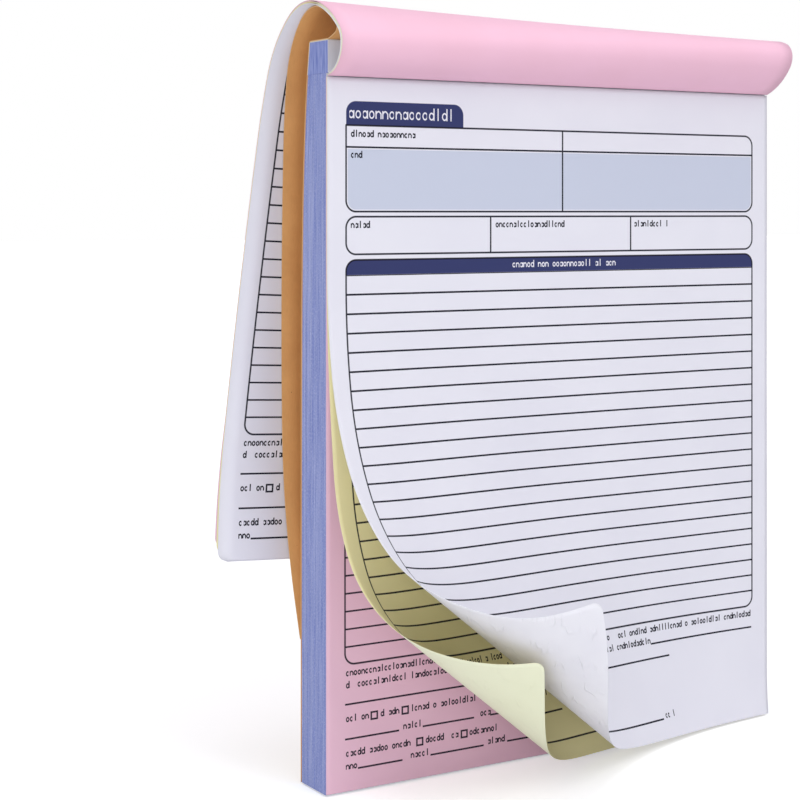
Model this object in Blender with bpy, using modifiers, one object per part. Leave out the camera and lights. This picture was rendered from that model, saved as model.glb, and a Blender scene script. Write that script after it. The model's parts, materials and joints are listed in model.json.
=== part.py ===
"""Carbonless invoice book, standing on its lower edge and folded open.

A letter-size book of three-part carbonless forms (white, canary yellow, pink), bound along
the top under a kraft wraparound cover. The front cover and the first set are folded over the
bound edge and hang behind the book. The second set is on show, and the lower left corners of
its white and yellow sheets have curled forward. Metres, +Z up, the printed face towards -Y,
with the origin in the middle of the edge that the book stands on.
"""

import math

import bmesh
import bpy
import numpy as np

MM = 0.001

# Paper and board
SHEET_WIDTH = 215.9 * MM
BOOK_HEIGHT = 279.4 * MM
STUB_HEIGHT = 12.7 * MM
SHEET_THICKNESS = 0.1 * MM
COVER_THICKNESS = 0.4 * MM
GLUE_THICKNESS = 0.3 * MM
CLEARANCE = 0.3 * MM

# The block of sets: thin where the staples press it, swollen lower down
BOUND_DEPTH = 13.8 * MM
FOOT_DEPTH = 20.6 * MM
SWELL_LENGTH = 40 * MM
SET_COUNT = 50
SETS_IN_USE = 2
SETS_PER_SLAB = 2

# Staples
STAPLE_COUNT = 3
STAPLE_INSET = 26 * MM
STAPLE_CROWN = 12 * MM
STAPLE_WIRE_RADIUS = 0.35 * MM
STAPLE_CLINCH = 4 * MM
STAPLE_BEND = 0.9 * MM

# The fold over the bound edge. Each pair is a distance in millimetres along the outermost
# sheet from its crease and the way it heads there in degrees: 180 is forward, 90 up, 0 back.
FOLD_LEFT = (
    (0, 172), (13, 120), (18, 98), (24, 52), (42, 18),
    (62, -42), (87, -80), (112, -87), (225, -91), (290, -109),
)
FOLD_RIGHT = (
    (0, 160), (18, 128), (23, 98), (30, 25), (38, -4), (52, -18),
    (64, -50), (74, -78), (92, -86), (140, -88), (265, -90),
)
COVER_FOLD_LEFT = (
    (0, 165), (5.5, 156), (10.2, 42), (14, 36), (24, 14),
    (41.6, -46), (64.6, -80.5), (90, -87.4), (199, -91.4), (267, -107.2),
)
COVER_FOLD_RIGHT = (
    (0, 172), (3, 165), (6, 42), (8, 6), (18, -7),
    (27, -58), (38, -83), (70, -87), (130, -89), (280, -90),
)
FOLD_SKEW = 0.122
FOLD_SKEW_START = 30 * MM
FOLD_OVERRUN = 20 * MM
CREASE_SPACING = 0.35 * MM
HANGING_SPACING = 0.7 * MM
SPACING_RUN = 60 * MM
FOLD_COLUMNS = 6
ROW_TURN = 12
ROW_SAG = 0.12 * MM

# The curled corners. Both roll about one line in the sheet, CURL_SLOPE degrees below the
# horizontal. CURL_STATIONS are shares of the way from the start of a curl to the corner, and
# each list gives how many degrees the sheet has turned there.
CURL_SLOPE = 38.9
CURL_STATIONS = (0, 0.2, 0.4, 0.55, 0.68, 0.8, 0.9, 1)
WHITE_CURL_START = 196 * MM
WHITE_CURL = (0, 11.5, 33, 58, 92, 114, 154, 184)
YELLOW_CURL_START = 199 * MM
YELLOW_CURL = (0, 5, 9, 32, 69, 103, 124, 149)
CURL_STRIPS = 36

# Worked out from the sizes above
FACE_Y = -FOOT_DEPTH / 2
HALF_WIDTH = SHEET_WIDTH / 2
STUB_BOTTOM = BOOK_HEIGHT - STUB_HEIGHT
SPINE_UNDERSIDE = BOOK_HEIGHT - COVER_THICKNESS
STUB_TOP = SPINE_UNDERSIDE - GLUE_THICKNESS
LEAF_TOP = STUB_BOTTOM - CLEARANCE
SHEET_PITCH = SHEET_THICKNESS + CLEARANCE
STUB_FRONT = FACE_Y - 4.5 * SHEET_THICKNESS
CREASE_Y = FACE_Y - 1.5 * SHEET_THICKNESS
PINK_CREASE_Z = STUB_BOTTOM - 3 * CREASE_SPACING
OPEN_TOP = PINK_CREASE_Z - CREASE_SPACING
BLOCK_FRONT = FACE_Y + 3 * SHEET_PITCH
HINGE_Z = SPINE_UNDERSIDE + COVER_THICKNESS / 2
STATION_COUNT = 8
STATIONS = sorted(
    [BOOK_HEIGHT, SPINE_UNDERSIDE, STUB_TOP, STUB_BOTTOM, LEAF_TOP]
    + [LEAF_TOP * math.sin(0.5 * math.pi * k / STATION_COUNT) for k in range(STATION_COUNT)]
)


def clear_scene():
    for obj in list(bpy.data.objects):
        bpy.data.objects.remove(obj, do_unlink=True)


def new_collection(name):
    group = bpy.data.collections.new(name)
    bpy.context.scene.collection.children.link(group)
    return group


def finish(name, colour, roughness, metallic=0.0):
    """A plain Principled material."""
    material = bpy.data.materials.new(name)
    material.use_nodes = True
    shader = material.node_tree.nodes["Principled BSDF"]
    shader.inputs["Base Color"].default_value = (*colour, 1)
    shader.inputs["Roughness"].default_value = roughness
    shader.inputs["Metallic"].default_value = metallic
    return material


clear_scene()
BOOK = new_collection("carbonless_invoice_book")
CUTTERS = new_collection("cutters")
CUTTERS.hide_render = True

WHITE_PAPER = finish("white_paper", (0.78, 0.78, 0.83), 0.7)
YELLOW_PAPER = finish("yellow_paper", (0.80, 0.78, 0.50), 0.7)
PINK_PAPER = finish("pink_paper", (0.78, 0.55, 0.68), 0.7)
BLOCK_PAPER = finish("block_paper", (0.40, 0.43, 0.66), 0.8)
KRAFT_BOARD = finish("kraft_board", (0.62, 0.42, 0.20), 0.75)
PADDING_GLUE = finish("padding_glue", (0.72, 0.70, 0.64), 0.5)
STEEL_WIRE = finish("steel_wire", (0.62, 0.62, 0.62), 0.3, 1.0)


def add_mesh(name, bm, material, origin=(0, 0, 0), group=BOOK):
    """Turns bm into an object whose origin is the given point, with its shape left in place."""
    bmesh.ops.translate(bm, verts=bm.verts, vec=[-c for c in origin])
    bmesh.ops.recalc_face_normals(bm, faces=bm.faces)
    mesh = bpy.data.meshes.new(name)
    bm.to_mesh(mesh)
    bm.free()
    obj = bpy.data.objects.new(name, mesh)
    obj.location = origin
    if material:
        mesh.materials.append(material)
    group.objects.link(obj)
    return obj


def back_of_book(z):
    """How far back the outside of the cover lies, which eases out below the staples."""
    swell = (FOOT_DEPTH - BOUND_DEPTH) * (1 - math.exp(-(BOOK_HEIGHT - z) / SWELL_LENGTH))
    return FACE_Y + BOUND_DEPTH + swell


def back_line(inset, low, high):
    """The points (y, z) of the back between two heights, moved forward by inset."""
    return [(back_of_book(z) - inset, z) for z in STATIONS if low <= z <= high]


def extruded(name, outline, material, width=SHEET_WIDTH):
    """A solid with a (y, z) outline, run from side to side of the book."""
    bm = bmesh.new()
    edge = [bm.verts.new((-width / 2, y, z)) for y, z in outline]
    face = bm.faces.new(edge)
    run = bmesh.ops.extrude_face_region(bm, geom=[face])["geom"]
    moved = [v for v in run if isinstance(v, bmesh.types.BMVert)]
    for vert in moved:
        vert.co.x = width / 2
    return add_mesh(name, bm, material)


def wraparound_cover_back():
    """The back panel and the spine, one board bent over the bound edge."""
    outside = back_line(0, 0, BOOK_HEIGHT)
    inside = back_line(COVER_THICKNESS, 0, SPINE_UNDERSIDE)
    front = [(STUB_FRONT, BOOK_HEIGHT), (STUB_FRONT, SPINE_UNDERSIDE)]
    extruded("wraparound_cover_back", outside + front + inside[::-1], KRAFT_BOARD)


def binding_glue():
    """Padding glue over the top and the back of the stubs, under the cover."""
    outside = back_line(COVER_THICKNESS, STUB_BOTTOM, SPINE_UNDERSIDE)
    inside = back_line(COVER_THICKNESS + GLUE_THICKNESS, STUB_BOTTOM, STUB_TOP)
    front = [(STUB_FRONT, SPINE_UNDERSIDE), (STUB_FRONT, STUB_TOP)]
    extruded("binding_glue", outside + front + inside[::-1], PADDING_GLUE)


def staple_places():
    outermost = HALF_WIDTH - STAPLE_INSET
    return [outermost * (2 * k / (STAPLE_COUNT - 1) - 1) for k in range(STAPLE_COUNT)]


STAPLE_Z = STUB_BOTTOM + STUB_HEIGHT / 2
STAPLE_HOLE = STAPLE_WIRE_RADIUS + CLEARANCE
CROWN_Y = STUB_FRONT - CLEARANCE - STAPLE_WIRE_RADIUS
STUB_BACK = back_of_book(STAPLE_Z) - COVER_THICKNESS - GLUE_THICKNESS
CLINCH_Y = STUB_BACK - CLEARANCE - 2 * STAPLE_WIRE_RADIUS


def staple_cutter(name, low, high):
    bm = bmesh.new()
    bmesh.ops.create_cube(bm, size=1)
    size = [b - a for a, b in zip(low, high)]
    middle = [(a + b) / 2 for a, b in zip(low, high)]
    bmesh.ops.scale(bm, verts=bm.verts, vec=size)
    bmesh.ops.translate(bm, verts=bm.verts, vec=middle)
    cutter = add_mesh(name, bm, None, group=CUTTERS)
    cutter.hide_render = True
    cutter.display_type = "WIRE"


def stub_block():
    """The glued stubs of all the sets, with the slots that the staples press into them."""
    back = back_line(COVER_THICKNESS + GLUE_THICKNESS, STUB_BOTTOM, STUB_TOP)
    front = [(STUB_FRONT, STUB_TOP), (STUB_FRONT, STUB_BOTTOM)]
    block = extruded("stub_block", back + front, BLOCK_PAPER)
    for place in staple_places():
        for side in (-1, 1):
            leg = place + side * STAPLE_CROWN / 2
            tip = leg - side * (STAPLE_CLINCH + CLEARANCE)
            outer = leg + side * STAPLE_HOLE
            staple_cutter(
                "leg_slot",
                (leg - STAPLE_HOLE, STUB_FRONT - STAPLE_HOLE, STAPLE_Z - STAPLE_HOLE),
                (leg + STAPLE_HOLE, STUB_BACK, STAPLE_Z + STAPLE_HOLE),
            )
            staple_cutter(
                "clinch_slot",
                (min(tip, outer), CLINCH_Y - STAPLE_HOLE, STAPLE_Z - STAPLE_HOLE),
                (max(tip, outer), STUB_BACK + STAPLE_HOLE, STAPLE_Z + STAPLE_HOLE),
            )
    cut = block.modifiers.new("staple slots", "BOOLEAN")
    cut.operation = "DIFFERENCE"
    cut.operand_type = "COLLECTION"
    cut.collection = CUTTERS


def staple(name, place):
    """A wire bent into a crown, two legs and two clinched tips."""
    half = STAPLE_CROWN / 2
    route = [
        (-half + STAPLE_CLINCH, CLINCH_Y),
        (-half + STAPLE_BEND, CLINCH_Y),
        (-half, CLINCH_Y - STAPLE_BEND),
        (-half, CROWN_Y + STAPLE_BEND),
        (-half + STAPLE_BEND, CROWN_Y),
    ]
    route += [(-x, y) for x, y in route[::-1]]
    wire = bpy.data.curves.new(name, "CURVE")
    wire.dimensions = "3D"
    wire.bevel_depth = STAPLE_WIRE_RADIUS
    wire.bevel_resolution = 2
    wire.use_fill_caps = True
    spline = wire.splines.new("POLY")
    spline.points.add(len(route) - 1)
    for point, (x, y) in zip(spline.points, route):
        point.co = (x, y, 0, 1)
    wire.materials.append(STEEL_WIRE)
    obj = bpy.data.objects.new(name, wire)
    obj.location = (place, 0, STAPLE_Z)
    BOOK.objects.link(obj)


def unused_sets():
    """The sets still in the block, as slabs that lie face to face and share the swelling."""
    slabs = (SET_COUNT - SETS_IN_USE) // SETS_PER_SLAB
    levels = [z for z in STATIONS if z <= LEAF_TOP]

    def between(share):
        last = [back_of_book(z) - COVER_THICKNESS - CLEARANCE for z in levels]
        return [(BLOCK_FRONT + share * (y - BLOCK_FRONT), z) for y, z in zip(last, levels)]

    for k in range(slabs):
        first = SETS_IN_USE + 1 + k * SETS_PER_SLAB
        name = f"unused_sets_{first:02d}_{first + SETS_PER_SLAB - 1:02d}"
        outline = between(k / slabs) + between((k + 1) / slabs)[::-1]
        extruded(name, outline, BLOCK_PAPER)


def fold_line(stations, start, length, spacing=(0, 0)):
    """Dense points (y, z) along a folded sheet, laid inside the outermost one by a spacing.

    The heading runs evenly between the stations, so each stretch is an arc. spacing is the
    gap at the crease and the gap that it opens to over SPACING_RUN. The line runs on past
    the length, because an inner sheet uses up a little more of it.
    """
    reach = np.linspace(0, length + FOLD_OVERRUN, 1200)
    at = [s * MM for s, _ in stations]
    heading = np.radians(np.interp(reach, at, [h for _, h in stations]))
    middle = (heading[1:] + heading[:-1]) / 2
    step = np.diff(reach)
    y = start[0] + np.concatenate([[0], np.cumsum(np.cos(middle) * step)])
    z = start[1] + np.concatenate([[0], np.cumsum(np.sin(middle) * step)])
    gap = spacing[0] + (spacing[1] - spacing[0]) * np.clip(reach / SPACING_RUN, 0, 1)
    return np.stack([y + np.sin(heading) * gap, z - np.cos(heading) * gap], axis=1)


def sampled(points, distances):
    """The points of a dense line at the given distances along it."""
    steps = np.hypot(*np.diff(points, axis=0).T)
    run = np.concatenate([[0], np.cumsum(steps)])
    return np.stack([np.interp(distances, run, points[:, k]) for k in (0, 1)], axis=1)


def fold_rows(left, right, length):
    """Distances along a folded sheet that keep both its edges smooth, close where it turns."""
    ends = sorted({s * MM for s, _ in left + right if s * MM < length} | {length})
    rows = [0.0]
    for low, high in zip(ends, ends[1:]):
        turn = 0
        for stations in (left, right):
            at = [s * MM for s, _ in stations]
            headings = np.interp([low, high], at, [h for _, h in stations])
            turn = max(turn, abs(headings[1] - headings[0]))
        sag = (high - low) * math.radians(turn) / 8
        parts = math.ceil(max(turn / ROW_TURN, math.sqrt(sag / ROW_SAG), 1))
        rows += [low + (high - low) * (k + 1) / parts for k in range(parts)]
    return np.array(rows)


def folded_sheet(name, ends, start, length, spacing, skew, thickness, material):
    """A sheet folded over the bound edge: straight lines between its left and right edges.

    skew is how far it drifts to the left for each millimetre that it hangs.
    """
    rows = fold_rows(*ends, length)
    left, right = (sampled(fold_line(e, start, length, spacing), rows) for e in ends)
    shift = skew * rows**2 / (rows + FOLD_SKEW_START)
    span = np.sqrt(SHEET_WIDTH**2 - ((right - left) ** 2).sum(axis=1))
    bm = bmesh.new()
    grid = []
    for k in range(FOLD_COLUMNS + 1):
        share = k / FOLD_COLUMNS
        x = -HALF_WIDTH - shift + share * span
        line = left + share * (right - left)
        grid.append([bm.verts.new((a, *b)) for a, b in zip(x, line)])
    for near, far in zip(grid, grid[1:]):
        for k in range(len(rows) - 1):
            bm.faces.new((near[k], far[k], far[k + 1], near[k + 1]))
    hinge = (0, start[0], start[1] + spacing[0])
    leaf = add_mesh(name, bm, material, origin=hinge)
    thicken(leaf, thickness)


def thicken(leaf, thickness):
    wall = leaf.modifiers.new("thickness", "SOLIDIFY")
    wall.thickness = thickness
    wall.offset = 0
    wall.use_even_offset = True


def front_cover():
    """The cover's front panel, creased at the front of the spine and folded back."""
    ends = (COVER_FOLD_LEFT, COVER_FOLD_RIGHT)
    start = (STUB_FRONT - CLEARANCE, HINGE_Z)
    folded_sheet(
        "front_cover", ends, start, BOOK_HEIGHT, (0, 0), 0, COVER_THICKNESS, KRAFT_BOARD
    )


def first_set():
    """The used set, folded back at a crease below the stubs, with its pink sheet outermost."""
    papers = (
        ("first_set_pink_sheet", PINK_PAPER),
        ("first_set_yellow_sheet", YELLOW_PAPER),
        ("first_set_white_sheet", WHITE_PAPER),
    )
    ends = (FOLD_LEFT, FOLD_RIGHT)
    start = (CREASE_Y, PINK_CREASE_Z)
    for k, (name, paper) in enumerate(papers):
        spacing = (k * CREASE_SPACING, k * HANGING_SPACING)
        folded_sheet(
            name, ends, start, LEAF_TOP, spacing, FOLD_SKEW, SHEET_THICKNESS, paper
        )


def curl_section(curl, reach):
    """The section of a curl square to its line: dense distances, how far across, how far out."""
    run = np.linspace(0, reach, 1200)
    turn = np.radians(np.interp(run / reach, CURL_STATIONS, curl))
    middle = (turn[1:] + turn[:-1]) / 2
    step = np.diff(run)
    across = np.concatenate([[0], np.cumsum(np.cos(middle) * step)])
    out = np.concatenate([[0], np.cumsum(np.sin(middle) * step)])
    return run, across, out


def open_sheet(name, layer, material, curl_start=None, curl=None):
    """A sheet of the set on show: a flat blank, rolled along straight lines at one corner."""
    middle_y = FACE_Y + SHEET_THICKNESS / 2 + layer * SHEET_PITCH
    bm = bmesh.new()
    corners = [(-1, CLEARANCE), (1, CLEARANCE), (1, OPEN_TOP), (-1, OPEN_TOP)]
    bm.faces.new([bm.verts.new((s * HALF_WIDTH, middle_y, z)) for s, z in corners])
    if curl:
        slope = math.radians(CURL_SLOPE)
        toward = np.array([-math.sin(slope), -math.cos(slope)])
        start = np.array([-HALF_WIDTH, curl_start])
        reach = (curl_start - CLEARANCE) * math.cos(slope)
        for k in range(CURL_STRIPS):
            x, z = start + toward * reach * k / CURL_STRIPS
            bmesh.ops.bisect_plane(
                bm,
                geom=bm.verts[:] + bm.edges[:] + bm.faces[:],
                plane_co=(x, 0, z),
                plane_no=(toward[0], 0, toward[1]),
            )
        run, across, out = curl_section(curl, reach)
        for vert in bm.verts:
            point = np.array([vert.co.x, vert.co.z])
            far = float((point - start) @ toward)
            if far > 0:
                moved = point + toward * (np.interp(far, run, across) - far)
                vert.co = (moved[0], middle_y - np.interp(far, run, out), moved[1])
    leaf = add_mesh(name, bm, material, origin=(0, middle_y, OPEN_TOP))
    thicken(leaf, SHEET_THICKNESS)


def set_on_show():
    open_sheet("open_set_white_sheet", 0, WHITE_PAPER, WHITE_CURL_START, WHITE_CURL)
    open_sheet("open_set_yellow_sheet", 1, YELLOW_PAPER, YELLOW_CURL_START, YELLOW_CURL)
    open_sheet("open_set_pink_sheet", 2, PINK_PAPER)


wraparound_cover_back()
binding_glue()
stub_block()
for side_name, staple_x in zip(("left", "middle", "right"), staple_places()):
    staple(f"staple_{side_name}", staple_x)
unused_sets()
first_set()
front_cover()
set_on_show()
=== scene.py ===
"""Carbonless invoice book: the looks of its papers, boards and print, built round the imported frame.

Every piece is worked out in metres in the frame's own coordinates: +Z up, the printed faces
towards -Y, the origin under the middle of the block. Sheet coordinates run across a sheet
from its left edge and up it from the foot of the book, and each sheet's UV map holds them
as shares of the sheet's width and of the book's height.
"""

import json
import math

import bpy
import numpy as np
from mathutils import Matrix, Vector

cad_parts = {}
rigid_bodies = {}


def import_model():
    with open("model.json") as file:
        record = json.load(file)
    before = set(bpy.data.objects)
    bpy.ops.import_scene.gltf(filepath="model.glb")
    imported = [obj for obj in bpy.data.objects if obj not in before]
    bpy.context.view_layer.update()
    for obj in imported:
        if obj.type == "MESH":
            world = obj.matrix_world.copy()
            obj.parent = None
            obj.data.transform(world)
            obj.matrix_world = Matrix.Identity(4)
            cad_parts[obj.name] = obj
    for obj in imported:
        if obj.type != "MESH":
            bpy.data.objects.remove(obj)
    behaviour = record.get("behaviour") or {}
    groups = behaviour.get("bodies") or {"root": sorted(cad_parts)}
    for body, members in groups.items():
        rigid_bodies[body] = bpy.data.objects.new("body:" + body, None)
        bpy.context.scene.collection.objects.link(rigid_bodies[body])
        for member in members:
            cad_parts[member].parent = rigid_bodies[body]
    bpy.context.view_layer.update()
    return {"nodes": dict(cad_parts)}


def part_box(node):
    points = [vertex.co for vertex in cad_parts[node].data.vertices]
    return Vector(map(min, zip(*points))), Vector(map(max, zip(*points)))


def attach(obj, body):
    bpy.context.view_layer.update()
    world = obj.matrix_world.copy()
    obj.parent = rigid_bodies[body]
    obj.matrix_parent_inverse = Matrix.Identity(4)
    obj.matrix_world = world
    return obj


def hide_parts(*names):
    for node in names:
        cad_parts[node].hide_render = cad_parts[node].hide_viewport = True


for startup in list(bpy.data.objects):
    bpy.data.objects.remove(startup, do_unlink=True)
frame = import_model()

# The stubs, the padding glue and the staples
# Above the perforation every set keeps a half-inch stub. Three wire staples clinch the stubs,
# and glue over their top and back holds the cover on.
MM = 0.001
EDGE_LILAC = (0.35, 0.40, 0.72)
EDGE_BLUE = (0.17, 0.22, 0.56)
STUB_FACE = (0.76, 0.75, 0.80)
GLUE_DARK, GLUE_PALE = (0.62, 0.58, 0.50), (0.80, 0.77, 0.70)
WIRE_DARK, WIRE_PALE = (0.50, 0.50, 0.52), (0.74, 0.74, 0.75)
SHEET_WIDTH = 215.9 * MM
BOOK_HEIGHT = 279.4 * MM


class Value:
    """A number that changes over a surface. It wraps a node's socket, and each operator
    on it adds the Math node that does the sum."""

    def __init__(self, shader, socket):
        self.shader = shader
        self.socket = socket

    def maths(self, operation, *others, clamp=False):
        """A Math node on this value and the others, which may be numbers."""
        settings = {"operation": operation, "use_clamp": clamp}
        inputs = dict(enumerate((self, *others)))
        return self.shader.value("ShaderNodeMath", settings, inputs)

    def __add__(self, other):
        return self.maths("ADD", other)

    def __sub__(self, other):
        return self.maths("SUBTRACT", other)

    def __rsub__(self, other):
        return (self * -1) + other

    def __mul__(self, other):
        return self.maths("MULTIPLY", other)

    def __truediv__(self, other):
        return self.maths("DIVIDE", other)

    __radd__ = __add__
    __rmul__ = __mul__

    def size(self):
        return self.maths("ABSOLUTE")

    def over(self, other):
        return self.maths("MAXIMUM", other)

    def under(self, other):
        return self.maths("MINIMUM", other)

    def root(self):
        return self.maths("SQRT")

    def near(self, middle, reach):
        """1 within this reach of the middle, 0 elsewhere."""
        return self.maths("COMPARE", middle, reach)

    def every(self, pitch):
        """What is left of the value after whole pitches are taken away."""
        return self.maths("FLOORED_MODULO", pitch)

    def share(self, low, high):
        """0 below low, 1 above high, and even between."""
        return ((self - low) / (high - low)).maths("ADD", 0, clamp=True)


class Nodes:
    """Adds nodes to one material or world."""

    def __init__(self, owner):
        owner.use_nodes = True
        self.tree = owner.node_tree

    def node(self, kind, settings={}, inputs={}):
        """A node of this type, its settings set first, then the values or links of its sockets."""
        made = self.tree.nodes.new(kind)
        for key, value in settings.items():
            setattr(made, key, value)
        for key, value in inputs.items():
            self.feed(made.inputs[key], value)
        return made

    def feed(self, socket, value):
        """Link a socket to a value's node, or set it to a number or a colour."""
        if isinstance(value, Value):
            value = value.socket
        if isinstance(value, bpy.types.NodeSocket):
            self.tree.links.new(value, socket)
        elif isinstance(value, tuple) and socket.type == "RGBA":
            socket.default_value = (*value, 1)
        else:
            socket.default_value = value

    def value(self, kind, settings={}, inputs={}, output=0):
        """One output of a new node, as a value."""
        return Value(self, self.node(kind, settings, inputs).outputs[output])


class Shader(Nodes):
    """A material built on its Principled node."""

    def __init__(self, name, roughness, metallic=0.0, shine=0.2):
        self.material = bpy.data.materials.new(name)
        super().__init__(self.material)
        self.surface = self.tree.nodes["Principled BSDF"]
        self.surface.inputs["Roughness"].default_value = roughness
        self.surface.inputs["Metallic"].default_value = metallic
        self.surface.inputs["Specular IOR Level"].default_value = shine

    def blend(self, share, below, above):
        """The colour below where share is 0, and the one above where it is 1."""
        settings = {"data_type": "RGBA", "clamp_factor": True}
        return self.node("ShaderNodeMix", settings, {0: share, 6: below, 7: above}).outputs[2]

    def tint(self, colour, by):
        """A colour multiplied by a number that changes over the surface."""
        grey = self.node("ShaderNodeCombineColor", {}, {0: by, 1: by, 2: by}).outputs[0]
        settings = {"data_type": "RGBA", "blend_type": "MULTIPLY"}
        return self.node("ShaderNodeMix", settings, {0: 1.0, 6: colour, 7: grey}).outputs[2]

    def along_sheet(self):
        """Millimetres across the sheet from its left edge, and up from the foot of the book."""
        place = self.node("ShaderNodeTexCoord").outputs["UV"]
        parts = self.node("ShaderNodeSeparateXYZ", {}, {0: place})
        across = Value(self, parts.outputs[0]) * (SHEET_WIDTH / MM)
        return across, Value(self, parts.outputs[1]) * (BOOK_HEIGHT / MM)

    def noise(self, place, scale, stretch=(1, 1, 1), detail=2.0, roughness=0.5):
        """Cloudy noise from 0 to 1, on coordinates stretched along each axis."""
        spread = {"operation": "MULTIPLY"}
        place = self.node("ShaderNodeVectorMath", spread, {0: place, 1: stretch}).outputs[0]
        inputs = {"Vector": place, "Scale": scale, "Detail": detail, "Roughness": roughness}
        return self.value("ShaderNodeTexNoise", {}, inputs)

    def object_place(self):
        return self.node("ShaderNodeTexCoord").outputs["Object"]

    def uv_place(self):
        return self.node("ShaderNodeTexCoord").outputs["UV"]

    def bump(self, height, strength, distance):
        """Relief: the height in shares of the distance, which is in metres."""
        inputs = {"Height": height, "Strength": strength, "Distance": distance}
        normal = self.node("ShaderNodeBump", {}, inputs).outputs[0]
        self.feed(self.surface.inputs["Normal"], normal)

    def finish(self, colour, roughness=None):
        """Give the Principled node its colour, and return the material."""
        self.feed(self.surface.inputs["Base Color"], colour)
        if roughness is not None:
            self.feed(self.surface.inputs["Roughness"], roughness)
        return self.material


def stub_finish():
    """Cut edges at the sides, and the pale face of the first stub in front."""
    look = Shader("stub_paper", 0.85)
    place = look.object_place()
    fine = look.noise(place, 1.0, (0, 1500, 90), 3.0, 0.6)
    colour = look.blend(fine.share(0.36, 0.62), EDGE_BLUE, EDGE_LILAC)
    normal = look.node("ShaderNodeNewGeometry").outputs["Normal"]
    facing = look.node("ShaderNodeSeparateXYZ", {}, {0: normal})
    front = (Value(look, facing.outputs[1]) * -1).share(0.6, 0.9)
    return look.finish(look.blend(front, colour, STUB_FACE))


def glue_finish():
    """Dried padding glue, cloudy and a little shiny."""
    look = Shader("padding_glue_dried", 0.45, shine=0.5)
    cloud = look.noise(look.object_place(), 260, (1, 1, 1), 3.0)
    look.bump(cloud, 0.3, 0.3 * MM)
    return look.finish(look.blend(cloud, GLUE_DARK, GLUE_PALE))


def wire_finish():
    """Galvanised stitching wire, with fine draw marks along it."""
    look = Shader("staple_wire", 0.32, 1.0, shine=0.5)
    marks = look.noise(look.object_place(), 1.0, (90, 5000, 5000), 2.0)
    return look.finish(look.blend(marks, WIRE_DARK, WIRE_PALE), marks * 0.2 + 0.22)


def dress(node, finish):
    """Give a solid of the part itself this finish."""
    materials = frame["nodes"][node].data.materials
    materials.clear()
    materials.append(finish)


dress("stub_block", stub_finish())
dress("binding_glue", glue_finish())
wire = wire_finish()
for side in ("left", "middle", "right"):
    dress(f"staple_{side}", wire)

# The wraparound cover's back panel and spine
# One kraft board bent twice over the bound edge. Its faces are calendered and flecked with
# darker fibres, and its cut edges show a paler core.
BOUND_DEPTH = 13.8 * MM
FOOT_DEPTH = 20.6 * MM
SWELL_LENGTH = 40 * MM
COVER_THICKNESS = 0.4 * MM
SPINE_BEND = 1.2 * MM
QUARTER_TURN = math.pi / 2
FACE_Y = -FOOT_DEPTH / 2
LEFT_X = -SHEET_WIDTH / 2
KRAFT = (0.72, 0.37, 0.135)
KRAFT_DARK = (0.62, 0.30, 0.105)
KRAFT_CORE = (0.78, 0.58, 0.34)
FLECK = (0.16, 0.08, 0.03)


def back_of_book(z):
    """Depth of the cover's outer face: the bound depth and a swelling that eases out downwards."""
    swell = (FOOT_DEPTH - BOUND_DEPTH) * (1 - np.exp(-(BOOK_HEIGHT - z) / SWELL_LENGTH))
    return FACE_Y + BOUND_DEPTH + swell


def add_piece(name, points, faces, coordinates, finishes, finish_of_face, smooth):
    """A mesh of these quads. coordinates holds each point's place in the UV map."""
    mesh = bpy.data.meshes.new(name)
    mesh.from_pydata(points.reshape(-1, 3).tolist(), [], faces.tolist())
    corners = np.empty(len(mesh.loops), np.int32)
    mesh.loops.foreach_get("vertex_index", corners)
    layer = mesh.uv_layers.new(name="sheet")
    layer.data.foreach_set("uv", coordinates.reshape(-1, 2)[corners].ravel())
    for finish in finishes:
        mesh.materials.append(finish)
    mesh.polygons.foreach_set("material_index", finish_of_face.astype(np.int32))
    mesh.polygons.foreach_set("use_smooth", smooth.astype(bool))
    mesh.validate()
    obj = bpy.data.objects.new(name, mesh)
    bpy.context.scene.collection.objects.link(obj)
    return obj


def quads(rows, columns):
    """The faces of a grid of points, turned so that row x column points out of them."""
    k = np.arange(rows * columns).reshape(rows, columns)
    corners = (k[:-1, :-1], k[1:, :-1], k[1:, 1:], k[:-1, 1:])
    return np.stack([c.ravel() for c in corners], axis=1)


def kraft_finish(name, face, shade):
    """Board with cloudy tone, long fibres that run down it, and sparse dark flecks."""
    look = Shader(name, 0.62)
    place = look.uv_place()
    cloud = look.noise(place, 1.0, (9, 11, 0), 4.0, 0.6)
    fibre = look.noise(place, 1.0, (420, 90, 0), 3.0, 0.65)
    grain = look.noise(place, 1.0, (1500, 1900, 0), 2.0)
    colour = look.blend(cloud.share(0.3, 0.75), shade, face)
    colour = look.tint(colour, (fibre - 0.5) * 0.16 + (grain - 0.5) * 0.10 + 1.0)
    flecks = {"feature": "F1"}
    cell = look.node("ShaderNodeTexVoronoi", flecks, {"Vector": place, "Scale": 46.0})
    chance = look.node("ShaderNodeSeparateColor", {}, {0: cell.outputs["Color"]}).outputs[0]
    dot = 1 - Value(look, cell.outputs["Distance"]).share(0.02, 0.05)
    rare = Value(look, chance).share(0.70, 0.72)
    colour = look.blend(dot * rare * 0.75, colour, FLECK)
    look.bump(fibre + grain * 0.6, 0.25, 0.2 * MM)
    return look.finish(colour, 0.70 - cloud * 0.12)


KRAFT_FACE = kraft_finish("kraft_board_face", KRAFT, KRAFT_DARK)


def edge_finish(name, pale, dark):
    """The trimmed edge of one sheet or board."""
    look = Shader(name, 0.85)
    grain = look.noise(look.object_place(), 2600, (1, 1, 1), 2.0)
    return look.finish(look.blend(grain, dark, pale))


KRAFT_EDGE = edge_finish("kraft_board_edge", KRAFT_CORE, KRAFT)


def unit(vectors):
    """Each vector divided by its length."""
    return vectors / np.linalg.norm(vectors, axis=-1, keepdims=True)


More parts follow.
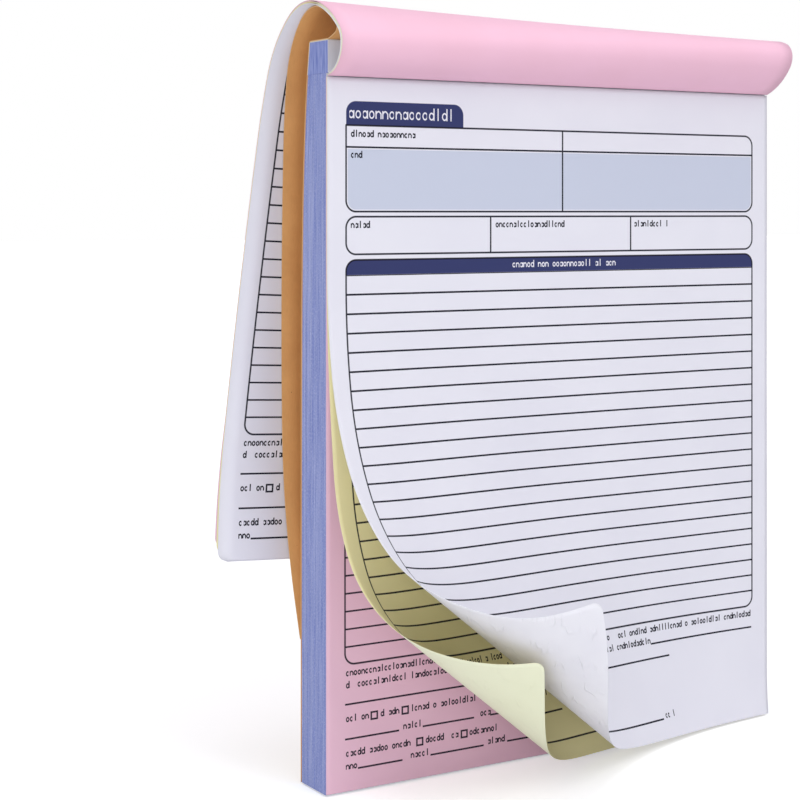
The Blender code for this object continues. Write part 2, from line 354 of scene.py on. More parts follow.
def leaf(name, middle, uv, thickness, finishes):
    """A sheet or board of even thickness: two faces half of it either side of the middle
    surface, along its normal (row direction x column direction), and a strip round the
    edge. finishes are those of the face, the back and the edge."""
    rows, columns = middle.shape[:2]
    down, over = np.gradient(middle, axis=0), np.gradient(middle, axis=1)
    out = unit(np.cross(down, over)) * thickness / 2
    points = np.concatenate([middle + out, middle - out]).reshape(-1, 3)
    front = quads(rows, columns)
    back = front[:, ::-1] + rows * columns
    k = np.arange(rows * columns).reshape(rows, columns)
    border = np.concatenate([k[:-1, 0], k[-1, :-1], k[:0:-1, -1], k[0, :0:-1]])
    after = np.roll(border, -1)
    far = rows * columns
    strip = np.stack([border, border + far, after + far, after], axis=1)
    faces = np.concatenate([front, back, strip])
    sort = np.concatenate([0 * front[:, 0], 0 * back[:, 0] + 1, 0 * strip[:, 0] + 2])
    uv = np.concatenate([uv.reshape(-1, 2)] * 2)
    return add_piece(name, points, faces, uv, finishes, sort, sort < 2)


def board_route():
    """Where the board's middle runs, seen from the side: up the back, a tight bend, and
    forward over the stubs. The second column is the distance from the foot."""
    half = COVER_THICKNESS / 2
    levels = (BOOK_HEIGHT - SPINE_BEND) * np.sin(np.linspace(0, QUARTER_TURN, 70))
    rise = np.stack([back_of_book(levels) - half, levels], axis=1)
    front_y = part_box("wraparound_cover_back")[0].y
    turn = np.linspace(0, QUARTER_TURN, 9)[1:]
    radius = SPINE_BEND - half
    centre = (rise[-1, 0] - radius, levels[-1])
    bend = np.stack([centre[0] + radius * np.cos(turn), centre[1] + radius * np.sin(turn)], axis=1)
    top = np.stack([np.linspace(bend[-1, 0], front_y, 9)[1:], np.full(8, bend[-1, 1])], axis=1)
    route = np.concatenate([rise, bend, top])
    run = np.concatenate([[0], np.cumsum(np.hypot(*np.diff(route, axis=0).T))])
    return route, run


def spread(route, columns):
    """A route in depth and height, run from side to side of the book as a grid."""
    x = np.linspace(LEFT_X, -LEFT_X, columns)
    grid = np.empty((len(route), columns, 3))
    grid[..., 0] = x[None, :]
    grid[..., 1:] = route[:, None, :]
    return grid


def cover_back():
    """The board's route run from side to side, with its thickness added."""
    route, run = board_route()
    grid = spread(route, 15)
    u = (grid[..., 0] - LEFT_X) / SHEET_WIDTH
    uv = np.stack([u, np.broadcast_to(run[:, None] / BOOK_HEIGHT, u.shape)], axis=-1)
    piece = leaf(
        "cover_back_and_spine", grid[:, ::-1], uv[:, ::-1], COVER_THICKNESS,
        [KRAFT_FACE, KRAFT_FACE, KRAFT_EDGE],
    )
    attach(piece, "book")
    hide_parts("wraparound_cover_back")


cover_back()

# The front cover
# The same board's front panel, creased along the front of the spine and folded back over it.
# It hangs behind the book inside the first set, its plain inner side outwards.
CLEARANCE = 0.3 * MM
SQUARE_CORNER = 0.5 * MM
# Stations down the left and right edges: millimetres from the crease, and degrees of heading.
COVER_FOLD_LEFT = (
    (0, 165), (5.5, 156), (10.2, 42), (14, 36), (24, 14),
    (41.6, -46), (64.6, -80.5), (90, -87.4), (199, -91.4), (267, -107.2),
)
COVER_FOLD_RIGHT = (
    (0, 172), (3, 165), (6, 42), (8, 6), (18, -7),
    (27, -58), (38, -83), (70, -87), (130, -89), (280, -90),
)
SKEW_START = 30 * MM
SPACING_RUN = 60 * MM
ROLL_LENGTH = 110 * MM
TUCK_START, TUCK_END = 40 * MM, 50 * MM
PATH_STEPS = 2400


def fold_line(stations, start, length, spacing):
    """The side view of a folded sheet. Its heading runs evenly between stations of distance
    and degrees, its points add up steps along that heading, and a sheet that lies inside
    the outermost is moved to its inner side by a spacing that widens from the crease."""
    reach = np.linspace(0, length + 20 * MM, PATH_STEPS)
    along, degrees = np.array(stations).T
    heading = np.radians(np.interp(reach, along * MM, degrees))
    middle, step = (heading[1:] + heading[:-1]) / 2, np.diff(reach)
    y = start[0] + np.concatenate([[0], np.cumsum(np.cos(middle) * step)])
    z = start[1] + np.concatenate([[0], np.cumsum(np.sin(middle) * step)])
    gap = spacing[0] + (spacing[1] - spacing[0]) * np.clip(reach / SPACING_RUN, 0, 1)
    line = np.stack([y + np.sin(heading) * gap, z - np.cos(heading) * gap], axis=1)
    run = np.concatenate([[0], np.cumsum(np.hypot(*np.diff(line, axis=0).T))])
    return run, line


def fold_distances(length, corner):
    """Distances down a folded sheet, closest over the roll and at its rounded corners."""
    roll = np.linspace(0, ROLL_LENGTH, 121)[:-1]
    hang = np.linspace(ROLL_LENGTH, length - corner, 40)[:-1]
    last = length - corner * np.cos(np.linspace(0, QUARTER_TURN, 8))
    return np.concatenate([roll, hang, last])


def folded(ends, start, length, spacing, skew, corner, tuck=0.0):
    """A sheet folded over the bound edge. Straight lines join the fold lines of its left and
    right edges, it drifts sideways as it hangs, and its free corners are rounded: over the
    last stretch each end of a row moves in by r - sqrt(r^2 - d^2). A tucked sheet lies a
    little to the right of the one before it, but not at its foot."""
    rows = fold_distances(length, corner)
    edges = []
    for stations in ends:
        run, line = fold_line(stations, start, length, spacing)
        edges.append(np.stack([np.interp(rows, run, line[:, k]) for k in (0, 1)], axis=1))
    left, right = edges
    tucked = np.clip(rows / TUCK_START, 0, 1) * np.clip((length - rows) / TUCK_END, 0, 1)
    shift = skew * rows**2 / (rows + SKEW_START) - tuck * tucked
    span = np.sqrt(SHEET_WIDTH**2 - ((right - left) ** 2).sum(axis=1))
    past = np.clip(rows - (length - corner), 0, corner)
    cut = (corner - np.sqrt(np.maximum(corner**2 - past**2, 0))) / SHEET_WIDTH
    share = cut[:, None] + np.linspace(0, 1, 33)[None, :] * (1 - 2 * cut[:, None])
    grid = np.empty((*share.shape, 3))
    grid[..., 0] = LEFT_X - shift[:, None] + share * span[:, None]
    grid[..., 1:] = left[:, None] + share[..., None] * (right - left)[:, None]
    high = np.broadcast_to((length - rows)[:, None], share.shape)
    return grid, np.stack([share, high / BOOK_HEIGHT], axis=-1)


def front_cover():
    """The panel's fold, straight down from its crease, with its corners left square."""
    crease = (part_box("stub_block")[0].y - CLEARANCE, BOOK_HEIGHT - COVER_THICKNESS / 2)
    edges, finishes = (COVER_FOLD_LEFT, COVER_FOLD_RIGHT), [KRAFT_FACE, KRAFT_FACE, KRAFT_EDGE]
    grid, uv = folded(edges, crease, BOOK_HEIGHT, (0, 0), 0, SQUARE_CORNER)
    piece = leaf("cover_front_panel", grid, uv, COVER_THICKNESS, finishes)
    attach(piece, "cover_flap")
    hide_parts("front_cover")


front_cover()

# The printed form and its papers
# White, canary and pink carbonless paper, all three printed with the same ruled form in one
# dark ink and two tints of blue. Its words are rings and stems that spell nothing.
INK = (0.006, 0.006, 0.016)
NAVY = (0.010, 0.018, 0.110)
BAND_BLUE = (0.54, 0.58, 0.71)
LINE_WIDTH = 0.70
SOFT_EDGE = 0.10
FORM_LEFT, FORM_RIGHT = 8.0, 207.4
CORNER = 4.2
TAB_TOP, TAB_RIGHT = 256.6, 60.0
ADDRESS_TOP, ADDRESS_LINE, ADDRESS_FOOT, ADDRESS_DIVIDER = 247.6, 239.5, 215.5, 107.3
DATE_TOP, DATE_FOOT, DATE_DIVIDERS = 213.6, 199.6, (72.7, 141.7)
TABLE_TOP, TABLE_HEAD, TABLE_FOOT, TABLE_ROWS = 197.5, 191.9, 47.3, 21
# Share by which the rows crowd at the table's foot and open at its head.
ROW_CROWDING = 0.055
BAND_INSET, BAND_CORNER = 0.75, 3.4
# Ring height in millimetres, and half the pen's width as a share of it.
WORD_SIZE, HEADING_SIZE, TITLE_SIZE = (1.7, 0.15), (1.8, 0.11), (3.0, 0.085)
# Height of each row, with the left and right ends of its runs, in the form's millimetres.
WORD_ROWS = (
    (244.2, ((9.5, 38.0),)), (236.4, ((9.5, 14.5),)),
    (210.3, ((10.5, 18.5), (74.3, 108.5), (143.3, 161.5))),
    (43.9, ((8.0, 207.0),)), (39.4, ((8.0, 150.0),)),
    (26.9, ((8.0, 17.5), (23.0, 31.5), (37.0, 100.0))),
    (20.6, ((32.5, 41.5), (66.5, 72.5))),
    (14.0, ((8.0, 38.0), (43.0, 59.0), (64.0, 76.5))),
    (9.2, ((8.0, 12.5), (36.0, 45.0), (71.5, 80.5), (151.0, 158.0))),
)
RULE_ROWS = (
    (38.3, ((150.0, 207.0),)), (32.5, ((8.0, 160.0),)),
    (19.6, ((8.0, 31.5), (42.0, 65.5), (73.0, 100.0))),
    (8.2, ((13.5, 33.0), (45.5, 70.0), (81.0, 150.0))),
)
TITLE_ROWS = ((251.7, ((9.5, 56.5),)),)
HEADING_ROWS = ((194.6, ((82.5, 134.0),)),)
TICK_BOXES = ((20.6, 26.9), (34.2, 26.9), (40.7, 14.0), (60.9, 14.0))
TICK_SIZE = 3.3
PAPER_ROUGHNESS = 0.72
PAPER_TOOTH = (1300, 1700, 0)
PAPER_RELIEF = 0.1 * MM


def solid(distance):
    """1 inside an outline, 0 outside it, with a soft edge."""
    return 1 - distance.share(-SOFT_EDGE, SOFT_EDGE)


def stroke(distance, width=LINE_WIDTH):
    """1 on a line of this width along the outline."""
    return solid(distance.size() - width / 2)


def panel(x, z, left, foot, right, top, corner=0.01):
    """How far a point is outside a rectangle with rounded corners, less than 0 inside it."""
    off_x = (x - (left + right) / 2).size() - ((right - left) / 2 - corner)
    off_z = (z - (foot + top) / 2).size() - ((top - foot) / 2 - corner)
    far_x, far_z = off_x.over(0), off_z.over(0)
    return (far_x * far_x + far_z * far_z).root() + off_x.over(off_z).under(0) - corner


def joined(first, *others):
    """The largest of the masks at each point."""
    for other in others:
        first = first.over(other)
    return first


def total(values):
    """The values added up."""
    first, *others = values
    for other in others:
        first = first + other
    return first


def in_rows(x, z, rows, height):
    """1 in each run of each row, 0 elsewhere."""
    return joined(*(
        z.near(level, height / 2) * joined(*(x.near((a + b) / 2, (b - a) / 2) for a, b in runs))
        for level, runs in rows
    ))


def letters(look, x, z, rows, size, seed):
    """Rings and stems in place of lettering, spelling nothing. Each cell of a row draws a
    number by its place, which picks one of six shapes or a gap. Runs end between cells, and
    the measures inside a cell are shares of the ring's height."""
    tall, pen = size
    wide = 0.98 * tall
    whole = [
        (level, [(round(a / wide) * wide, round(b / wide) * wide) for a, b in runs])
        for level, runs in rows
    ]
    inside = in_rows(x, z, whole, 2.4 * tall)
    height = total(z.near(level, 1.2 * tall) * (z - level) for level, _ in rows)
    row_seed = total(z.near(level, 1.2 * tall) * (37 * k) for k, (level, _) in enumerate(rows))
    cell = (x / wide).maths("FLOOR") + row_seed + seed
    draw = look.value("ShaderNodeTexWhiteNoise", {"noise_dimensions": "1D"}, {"W": cell})
    side = x.every(wide) - 0.48 * wide
    radius, pen = 0.36 * tall, pen * tall
    low, tower = height.near(0, 0.5 * tall), height.near(0.25 * tall, 0.78 * tall)
    ring = ((side * side * 1.3 + height * height * 0.75).root() - radius).near(0, pen)
    left, right = side.near(-radius, pen), side.near(radius, pen)
    arch = joined(
        left * low, right * height.near(-0.15 * tall, 0.36 * tall),
        ring * height.near(0.4 * tall, 0.3 * tall),
    )
    shapes = (
        ring, ring * (1 - right), arch, joined(ring, right * tower), side.near(0, pen) * tower,
        joined(ring * (1 - left), right * low),
    )
    return inside * joined(
        *(shape * draw.near(0.145 * (k + 0.5), 0.072) for k, shape in enumerate(shapes))
    )


def printed_form(look):
    """The form's masks: dark ink, navy grounds, the pale blue band, and white left in navy."""
    x, z = look.along_sheet()
    tab = panel(x, z, FORM_LEFT, ADDRESS_TOP - 2 * CORNER, TAB_RIGHT, TAB_TOP, CORNER)
    address = panel(x, z, FORM_LEFT, ADDRESS_FOOT, FORM_RIGHT, ADDRESS_TOP, CORNER)
    under_tab = panel(x, z, FORM_LEFT, ADDRESS_TOP - 4 * CORNER, TAB_RIGHT / 2, ADDRESS_TOP)
    address = address.under(under_tab)
    dates = panel(x, z, FORM_LEFT, DATE_FOOT, FORM_RIGHT, DATE_TOP, CORNER)
    table = panel(x, z, FORM_LEFT, TABLE_FOOT, FORM_RIGHT, TABLE_TOP, CORNER)
    pitch = (TABLE_HEAD - TABLE_FOOT) / TABLE_ROWS
    rise = (z - TABLE_FOOT) / (TABLE_HEAD - TABLE_FOOT)
    rows = (rise + rise * (1 - rise) * ROW_CROWDING) * TABLE_ROWS
    ruled = (rows + 0.5).every(1).near(0.5, LINE_WIDTH / 2 / pitch)
    ruled = ruled * solid(table) * z.near(TABLE_FOOT, TABLE_HEAD - TABLE_FOOT)
    dividers = joined(*(x.near(at, LINE_WIDTH / 2) for at in DATE_DIVIDERS)) * solid(dates)
    split = joined(x.near(ADDRESS_DIVIDER, LINE_WIDTH / 2), z.near(ADDRESS_LINE, LINE_WIDTH / 2))
    outer, inner = TICK_SIZE / 2, TICK_SIZE / 2 - LINE_WIDTH
    ticks = joined(*(
        x.near(a, outer) * z.near(b, outer) * (1 - x.near(a, inner) * z.near(b, inner))
        for a, b in TICK_BOXES
    ))
    ink = joined(
        stroke(address), stroke(dates), stroke(table), ruled, dividers, split * solid(address),
        in_rows(x, z, RULE_ROWS, LINE_WIDTH), ticks,
        letters(look, x, z, WORD_ROWS, WORD_SIZE, seed=3),
    )
    navy = joined(
        solid(tab) * z.share(ADDRESS_TOP - SOFT_EDGE, ADDRESS_TOP + SOFT_EDGE),
        solid(table) * z.share(TABLE_HEAD - SOFT_EDGE, TABLE_HEAD + SOFT_EDGE),
    )
    left, foot, right = FORM_LEFT + BAND_INSET, ADDRESS_FOOT + BAND_INSET, FORM_RIGHT - BAND_INSET
    band = solid(panel(x, z, left, foot, right, ADDRESS_TOP, BAND_CORNER))
    band = band * solid(z - (ADDRESS_LINE - BAND_INSET))
    title = letters(look, x, z, TITLE_ROWS, TITLE_SIZE, seed=14)
    heading = letters(look, x, z, HEADING_ROWS, HEADING_SIZE, seed=5)
    return ink, navy, band, joined(title, heading)


def paper_face(name, paper, shade, ink_share, blue_share):
    """Uncoated paper printed with the form. Cloudy tone and a fine tooth come from noise."""
    look = Shader(name, PAPER_ROUGHNESS)
    place = look.uv_place()
    cloud = look.noise(place, 1.0, (6, 8, 0), 3.0)
    tooth = look.noise(place, 1.0, PAPER_TOOTH, 2.0)
    bare = look.blend(cloud.share(0.25, 0.8), shade, paper)
    ink, navy, band, knocked_out = printed_form(look)
    colour = look.blend(band * blue_share, bare, BAND_BLUE)
    colour = look.blend(navy * 0.97, colour, NAVY)
    colour = look.blend(knocked_out * navy, colour, bare)
    colour = look.blend(ink * ink_share, colour, INK)
    look.bump(tooth * 0.08 + cloud * 3, 1.0, PAPER_RELIEF)
    return look.finish(colour)


def paper_back(name, paper, shade, creased):
    """The unprinted side, in the colours given for it, with short faint creases where it was handled.
    """
    look = Shader(name, PAPER_ROUGHNESS)
    place = look.uv_place()
    cloud = look.noise(place, 1.0, (7, 9, 0), 3.0)
    tooth = look.noise(place, 1.0, PAPER_TOOTH, 2.0)
    folds = look.noise(place, 1.0, (7, 34, 0), 2.0, 0.6)
    handled = look.noise(place, 1.0, (30, 17, 0), 1.0).share(0.46, 0.60)
    crease = (1 - (folds - 0.5).size().share(0, 0.03)) * handled * creased
    look.bump(tooth * 0.08 + cloud * 2 + crease * 2.4, 1.0, PAPER_RELIEF)
    return look.finish(look.blend(cloud.share(0.25, 0.8), shade, paper))


WHITE = (0.80, 0.79, 0.86)
WHITE_SHADE = (0.76, 0.75, 0.83)
# The white paper's plain back is brighter than its printed face. The difference is painted light,
# standing for the extra light that falls on the curled flap.
WHITE_BACK_LIT = (0.95, 0.945, 0.985)
# The canary's printed face and plain back are given two colours, and the difference between them is
# painted. The face is deeper and more golden, a painted shade of how the canary looks inside the
# curl. The back is paler and brighter, painted light as on the lit flap.
YELLOW = (0.93, 0.86, 0.49)
YELLOW_SHADE = (0.90, 0.82, 0.45)
YELLOW_BACK_LIT = (0.92, 0.94, 0.72)
YELLOW_BACK_SHADE = (0.88, 0.90, 0.66)
PINK = (0.87, 0.57, 0.71)
PINK_SHADE = (0.83, 0.53, 0.67)
PINK_BACK = (0.93, 0.57, 0.72)
PINK_BACK_SHADE = (0.90, 0.54, 0.67)

WHITE_PAPER = [
    paper_face("white_paper_printed", WHITE, WHITE_SHADE, ink_share=0.98, blue_share=0.9),
    paper_back("white_paper_plain", WHITE_BACK_LIT, WHITE, creased=1.0),
    edge_finish("white_paper_edge", WHITE_BACK_LIT, WHITE_SHADE),
]
YELLOW_PAPER = [
    paper_face("yellow_paper_printed", YELLOW, YELLOW_SHADE, ink_share=0.96, blue_share=0.35),
    paper_back("yellow_paper_plain", YELLOW_BACK_LIT, YELLOW_BACK_SHADE, creased=0.5),
    edge_finish("yellow_paper_edge", YELLOW_BACK_LIT, YELLOW),
]
PINK_PAPER = [
    paper_face("pink_paper_printed", PINK, PINK_SHADE, ink_share=0.96, blue_share=0.35),
    paper_back("pink_paper_plain", PINK_BACK, PINK_BACK_SHADE, creased=0.0),
    edge_finish("pink_paper_edge", PINK_BACK, PINK_SHADE),
]

# The unused sets
# Forty-eight sets of three carbonless sheets, cut flush after binding, so each side of the
# block is the trimmed edges of 144 sheets. The staples pinch them at the top, and they
# spread towards the foot. The next form to be used is at the front.
EDGE_PALE = (0.60, 0.64, 0.88)
STUB_HEIGHT = 12.7 * MM
PERFORATION = 0.02 * MM
EDGE_INSET, EDGE_RELIEF = 0.12 * MM, 0.06 * MM
SLABS = sorted(name for name in frame["nodes"] if name.startswith("unused_sets"))
BLOCK_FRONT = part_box(SLABS[0])[0].y


def cut_edges():
    """Trimmed edges of many sheets: uneven streaks that follow the sheets, blue to lilac, and
    paler specks where the knife has dragged paper dust along."""
    look = Shader("cut_edges_of_sheets", 0.85)
    place = look.uv_place()
    streak = look.noise(place, 1.0, (55, 11, 0), 4.0, 0.7)
    broad = look.noise(place, 1.0, (14, 2.2, 0), 2.0)
    speck = look.noise(place, 1.0, (46, 330, 0), 3.0, 0.8)
    colour = look.blend(streak.share(0.38, 0.60), EDGE_BLUE, EDGE_LILAC)
    colour = look.blend(broad.share(0.45, 0.7) * 0.35, colour, EDGE_PALE)
    colour = look.blend(speck.share(0.50, 0.68) * 0.55, colour, EDGE_PALE)
    colour = look.blend(speck.share(0.46, 0.32) * 0.35, colour, EDGE_BLUE)
    look.bump(streak + speck * 0.6, 0.6, 0.4 * MM)
    return look.finish(colour)


CUT_EDGES = cut_edges()


def block_section(height):
    """Sheets run from share 0 at the front to 1 at the back, where the block follows the
    cover's swelling. The front is flat."""
    shares = np.linspace(0, 1, 49)
    levels = height * np.sin(np.linspace(0, QUARTER_TURN, 61))
    back = back_of_book(levels) - COVER_THICKNESS - CLEARANCE
    depth = BLOCK_FRONT + shares[None, :] * (back[:, None] - BLOCK_FRONT)
    return shares, levels, depth


def block_of_sheets():
    """Six faces of the block. On the left and right sides each sheet's edge stands a little
    in or out, by a sum of sines of its share. The front is the third set's printed white
    sheet and the back the last set's plain pink one."""
    shares, levels, depth = block_section(BOOK_HEIGHT - STUB_HEIGHT - PERFORATION)
    high = np.broadcast_to(levels[:, None], depth.shape)
    uneven = (np.sin(61 * shares) + np.sin(137 * shares + 2)) * EDGE_RELIEF
    left = np.stack([LEFT_X + EDGE_INSET + uneven + 0 * depth, depth, high], axis=-1)
    right = left * (-1, 1, 1)
    wall = np.stack([shares[None, :] + 0 * depth, high / BOOK_HEIGHT], axis=-1)
    strips = [(left, wall, False, 0), (right, wall, True, 0)]
    across = np.array([0.0, 1.0])[:, None]
    for row, turned in ((0, True), (-1, False)):
        grid = left[row] * (1 - across[..., None]) + right[row] * across[..., None]
        strips.append((grid, np.stack([wall[row]] * 2), turned, 0))
    for column, turned, finish in ((0, False, 1), (-1, True, 2)):
        grid = left[:, column] * (1 - across[..., None]) + right[:, column] * across[..., None]
        uv = np.stack([across + 0 * levels, grid[..., 2] / BOOK_HEIGHT], axis=-1)
        strips.append((grid, uv, turned, finish))
    faces, sort, count = [], [], 0
    for grid, _, turned, finish in strips:
        mesh = quads(*grid.shape[:2])
        faces.append((mesh[:, ::-1] if turned else mesh) + count)
        sort.append(np.full(len(mesh), finish))
        count += grid.shape[0] * grid.shape[1]
    points = np.concatenate([grid.reshape(-1, 3) for grid, _, _, _ in strips])
    uv = np.concatenate([place.reshape(-1, 2) for _, place, _, _ in strips])
    sort = np.concatenate(sort)
    piece = add_piece(
        "block_of_unused_sheets", points, np.concatenate(faces), uv,
        [CUT_EDGES, WHITE_PAPER[0], PINK_PAPER[1]], sort, 0 * sort,
    )
    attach(piece, "book")
    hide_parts(*SLABS)


block_of_sheets()

# The first set
# Used and folded back over the bound edge with the cover, still held by its perforation. The
# pink sheet is outermost on the roll, its plain back showing, and the white one's printed
# face shows behind the block at the left.
SHEET_THICKNESS = 0.1 * MM
CREASE_SPACING = 0.35 * MM
HANGING_SPACING = 0.7 * MM
FOLD_SKEW = 0.122
SHEET_CORNER = 4 * MM
TUCK = 0.45 * MM
# Stations as the cover's: millimetres from the perforation, and degrees of heading.
FOLD_LEFT = (
    (0, 172), (13, 120), (18, 98), (24, 52), (42, 18),
    (62, -42), (87, -80), (112, -87), (225, -91), (290, -109),
)
FOLD_RIGHT = (
    (0, 160), (18, 128), (23, 98), (30, 25), (38, -4), (52, -18),
    (64, -50), (74, -78), (92, -86), (140, -88), (265, -90),
)
LEAF_LENGTH = BOOK_HEIGHT - STUB_HEIGHT - CLEARANCE
CREASE = (FACE_Y - 1.5 * SHEET_THICKNESS, BOOK_HEIGHT - STUB_HEIGHT - 3 * CREASE_SPACING)


def first_set():
    """Three folded sheets from the outermost in, each inside the one before it."""
    sheets = (("pink", PINK_PAPER), ("yellow", YELLOW_PAPER), ("white", WHITE_PAPER))
    for k, (tint, papers) in enumerate(sheets):
        spacing, tuck = (k * CREASE_SPACING, k * HANGING_SPACING), (2 - k) * TUCK
        grid, uv = folded(
            (FOLD_LEFT, FOLD_RIGHT), CREASE, LEAF_LENGTH, spacing, FOLD_SKEW, SHEET_CORNER, tuck
        )
        piece = leaf(f"folded_{tint}_sheet", grid, uv, SHEET_THICKNESS, papers)
        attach(piece, f"first_{tint}")
        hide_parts(f"first_set_{tint}_sheet")


first_set()

# The set on show
# The next set, still in place. The lower left corners of its white and yellow sheets have
# curled forward and rolled over, so their plain backs show, and the pink sheet lies flat.
CURL_SLOPE = math.radians(38.9)
CURL_STATIONS = (0, 0.2, 0.4, 0.55, 0.68, 0.8, 0.9, 1)
WHITE_CURL_START, WHITE_CURL = 196 * MM, (0, 11.5, 33, 58, 92, 114, 154, 184)
YELLOW_CURL_START, YELLOW_CURL = 199 * MM, (0, 5, 9, 32, 69, 103, 124, 149)
SHEET_PITCH = SHEET_THICKNESS + CLEARANCE
OPEN_TOP = CREASE[1] - CREASE_SPACING
SHEET_COLUMNS = 109


def curled(layer, curl_start, curl):
    """A flat sheet rolled at its lower left about a line that slopes down to the right, with
    that corner rounded as a folded sheet's are. Past the line a point keeps its place along
    it, and its distance across becomes an arc whose turning, in degrees, runs evenly between
    stations on the way to the corner."""
    corner = SHEET_CORNER if curl else SQUARE_CORNER
    last = CLEARANCE + corner * (1 - np.sin(np.linspace(0, QUARTER_TURN, 9)))
    z = np.concatenate([np.linspace(OPEN_TOP, CLEARANCE + corner, 130)[:-1], last])
    past = np.clip(CLEARANCE + corner - z, 0, corner)
    cut = corner - np.sqrt(np.maximum(corner**2 - past**2, 0))
    share = np.linspace(0, 1, SHEET_COLUMNS)
    grid = np.empty((len(z), SHEET_COLUMNS, 3))
    grid[..., 0] = LEFT_X + cut[:, None] + share * (SHEET_WIDTH - cut[:, None])
    grid[..., 2] = z[:, None]
    grid[..., 1] = FACE_Y + SHEET_THICKNESS / 2 + layer * SHEET_PITCH
    uv = np.stack([(grid[..., 0] - LEFT_X) / SHEET_WIDTH, grid[..., 2] / BOOK_HEIGHT], axis=-1)
    if curl:
        toward = np.array([-math.sin(CURL_SLOPE), -math.cos(CURL_SLOPE)])
        reach = (curl_start - CLEARANCE) * math.cos(CURL_SLOPE)
        run = np.linspace(0, reach, PATH_STEPS)
        turn = np.radians(np.interp(run / reach, CURL_STATIONS, curl))
        middle, step = (turn[1:] + turn[:-1]) / 2, np.diff(run)
        across = np.concatenate([[0], np.cumsum(np.cos(middle) * step)])
        out = np.concatenate([[0], np.cumsum(np.sin(middle) * step)])
        far = (grid[..., 0] - LEFT_X) * toward[0] + (grid[..., 2] - curl_start) * toward[1]
        far = np.maximum(far, 0)
        grid[..., 0] += toward[0] * (np.interp(far, run, across) - far)
        grid[..., 2] += toward[1] * (np.interp(far, run, across) - far)
        grid[..., 1] -= np.interp(far, run, out)
    return grid, uv


def set_on_show():
    """Three sheets from the front one back, the first two with their corners curled."""
    sheets = (
        ("white", WHITE_PAPER, WHITE_CURL_START, WHITE_CURL),
        ("yellow", YELLOW_PAPER, YELLOW_CURL_START, YELLOW_CURL),
        ("pink", PINK_PAPER, None, None),
    )
    for layer, (tint, papers, start, curl) in enumerate(sheets):
        grid, uv = curled(layer, start, curl)
        piece = leaf(f"open_{tint}_sheet", grid, uv, SHEET_THICKNESS, papers)
        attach(piece, f"open_{tint}")
        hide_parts(f"open_set_{tint}_sheet")


set_on_show()

# The floor, the light and the camera
# A seamless pale floor under soft studio light, seen from the front left with a long lens.
CAMERA_PLACE = (-0.43785, -0.6029, 0.21535)
CAMERA_TURN = math.radians(-31.37)
LENS_MM, SENSOR_MM = 82.8, 36
VIEW_DROP = -0.235
FLOOR_REACH, FLOOR_LEVEL = 12, -0.6 * MM
FLOOR_PALE = (0.87, 0.87, 0.88)
# The floor's own light, seen by the camera alone: near and far, and where it changes.
GLOW_NEAR, GLOW_FAR, GLOW_START, GLOW_END = 0.45, 0.95, 0.4, 1.6
ROOM_TINT, ROOM_LEVEL = (0.94, 0.96, 1.0), 0.45
PURE_WHITE = (1.0, 1.0, 1.0)
SOFTBOX_WIDTH = 1.0
# Name, place, the height above the origin that it faces, and watts.
SOFTBOXES = (
    ("key_softbox", (0.5, -1.4, 1.5), 0.15, 11),
    ("side_softbox", (-1.4, -1.2, 0.45), 0.15, 10.5),
    ("top_softbox", (-0.2, -0.4, 1.9), 0.2, 8),
)


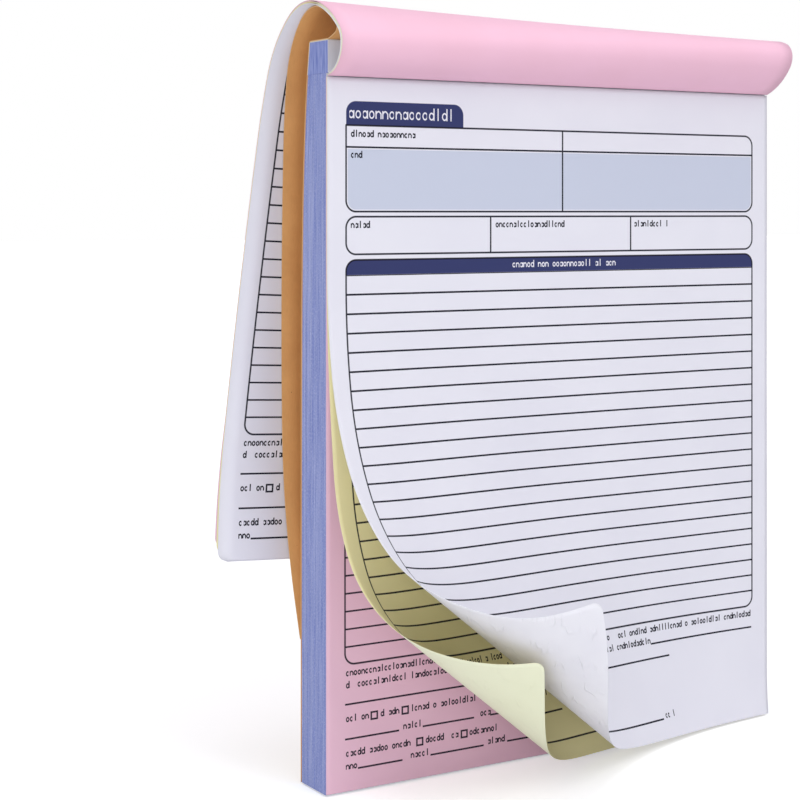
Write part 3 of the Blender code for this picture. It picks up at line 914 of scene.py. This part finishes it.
def floor():
    """White to the camera where the light is full, so that only the object's shadow shows."""
    mesh = bpy.data.meshes.new("floor")
    corners = np.array([(-1, -1, 0), (1, -1, 0), (1, 1, 0), (-1, 1, 0)]) * FLOOR_REACH
    mesh.from_pydata((corners + (0, 0, FLOOR_LEVEL)).tolist(), [], [(0, 1, 2, 3)])
    look = Shader("floor_paper", 0.9)
    seen = look.node("ShaderNodeLightPath").outputs["Is Camera Ray"]
    off = look.node("ShaderNodeVectorMath", {"operation": "LENGTH"}, {0: look.object_place()})
    far = Value(look, off.outputs["Value"]).share(GLOW_START, GLOW_END)
    glow = (far * (GLOW_FAR - GLOW_NEAR) + GLOW_NEAR) * Value(look, seen)
    fleck = look.noise(look.object_place(), 40, (1, 1, 1), 3.0) * 0.02
    look.surface.inputs["Emission Strength"].default_value = 1
    look.feed(look.surface.inputs["Emission Color"], look.tint(PURE_WHITE, glow))
    mesh.materials.append(look.finish(look.tint(FLOOR_PALE, fleck + 0.98)))
    obj = bpy.data.objects.new("floor", mesh)
    bpy.context.scene.collection.objects.link(obj)


def room_light():
    """An even pale surround, and a white backdrop that only the camera and gloss see."""
    world = bpy.data.worlds.new("studio")
    bpy.context.scene.world = world
    look = Nodes(world)
    light = look.tree.nodes["Background"]
    look.feed(light.inputs["Color"], ROOM_TINT)
    look.feed(light.inputs["Strength"], ROOM_LEVEL)
    backdrop = look.node("ShaderNodeBackground", {}, {"Color": PURE_WHITE})
    path = look.node("ShaderNodeLightPath")
    seen = Value(look, path.outputs["Is Camera Ray"]).over(path.outputs["Is Glossy Ray"])
    shaders = {0: seen, 1: light.outputs[0], 2: backdrop.outputs[0]}
    mix = look.node("ShaderNodeMixShader", {}, shaders)
    look.feed(look.tree.nodes["World Output"].inputs["Surface"], mix.outputs[0])


def softbox(name, place, aim, power):
    """A square lamp at its place, turned to face a point above the origin."""
    lamp = bpy.data.lights.new(name, "AREA")
    lamp.size = SOFTBOX_WIDTH
    lamp.energy = power
    obj = bpy.data.objects.new(name, lamp)
    obj.location = place
    across, deep, rise = np.array(place) - (0, 0, aim)
    obj.rotation_euler = (math.atan2(math.hypot(across, deep), rise), 0, math.atan2(across, -deep))
    bpy.context.scene.collection.objects.link(obj)


def camera():
    """A level camera, with its frame shifted down to the book."""
    view = bpy.data.cameras.new("camera")
    view.lens = LENS_MM
    view.sensor_width = SENSOR_MM
    view.shift_y = VIEW_DROP
    obj = bpy.data.objects.new("camera", view)
    obj.location = CAMERA_PLACE
    obj.rotation_euler = (QUARTER_TURN, 0, CAMERA_TURN)
    bpy.context.scene.collection.objects.link(obj)
    bpy.context.scene.camera = obj


floor()
room_light()
for name, place, aim, power in SOFTBOXES:
    softbox(name, place, aim, power)
camera()
bpy.context.scene.view_settings.view_transform = "Standard"
